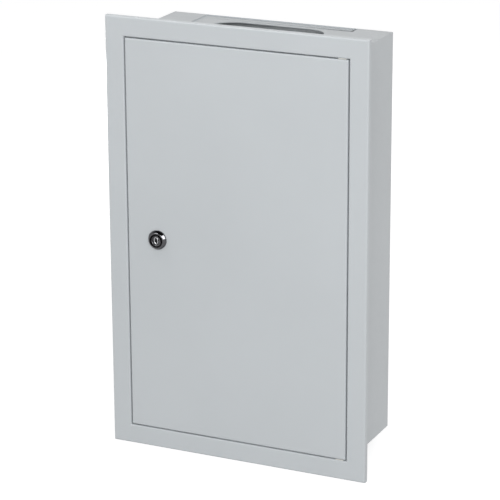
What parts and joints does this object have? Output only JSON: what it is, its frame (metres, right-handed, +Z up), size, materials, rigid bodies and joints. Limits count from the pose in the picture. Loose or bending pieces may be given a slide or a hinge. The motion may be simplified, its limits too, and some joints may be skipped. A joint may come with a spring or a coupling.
{
  "type": "flush-mount distribution board",
  "caption": "Steel wall box with a flush front frame and a lockable hinged door over rails for modular switchgear, a windowed cover and terminal bars; cable slots at both ends.",
  "frame": {"origin": "centre of the wall box's outer back face, which is also the centre of the wall fixing holes", "axes": "+X to the right seen from the front, +Y into the wall, +Z up; the door faces -Y"},
  "size_m": [0.35, 0.1475, 0.56],
  "materials": {
    "grey_paint": "light grey textured powder coat",
    "cover_paint": "light grey powder coat",
    "chrome": "dark nickel-chrome plating",
    "zinc": "bright zinc plating",
    "nylon": "natural nylon",
    "rubber": "matt",
    "blank_plastic": "light grey, fine grain",
    "screw_plastic": "dark grey",
    "blue_plastic": "blue insulating plastic",
    "green_plastic": "green insulating plastic",
    "brass": "drawn bar"
  },
  "bodies": {
    "carcass": {"wall_box": "grey_paint", "entry_plate_top": "grey_paint", "entry_plate_bottom": "grey_paint", "rear_strip_top": "grey_paint", "rear_strip_bottom": "grey_paint", "front_frame": "grey_paint", "cover_plate": "cover_paint", "frame_screws": "zinc", "upright_left": "zinc", "upright_right": "zinc", "din_rail_bottom": "zinc", "din_rail_middle": "zinc", "din_rail_top": "zinc", "hinge_bush_upper": "nylon", "hinge_bush_lower": "nylon", "cover_posts": "nylon", "door_buffers": "rubber", "blanking_strip_bottom": "blank_plastic", "blanking_strip_middle": "blank_plastic", "blanking_strip_top": "blank_plastic", "cover_fasteners": "screw_plastic", "neutral_holders": "blue_plastic", "earth_holders": "green_plastic", "neutral_bar": "brass", "earth_bar": "brass"},
    "door": {"door_panel": "grey_paint", "hinge_pin_upper": "zinc", "hinge_pin_lower": "zinc", "lock_housing": "chrome", "lock_clip": "zinc"},
    "lock": {"lock_core": "zinc", "lock_cam": "zinc", "cam_screw": "zinc"}
  },
  "joints": [
    {"name": "door_hinge", "type": "hinge", "parent": "carcass", "child": "door", "pos_m": [0.1404, -0.136, 0], "axis": [0, 0, 1], "range_deg": [0, 110]},
    {"name": "lock_turn", "type": "hinge", "parent": "door", "child": "lock", "pos_m": [-0.1069, -0.132, 0], "axis": [0, 1, 0], "range_deg": [0, 90]}
  ]
}
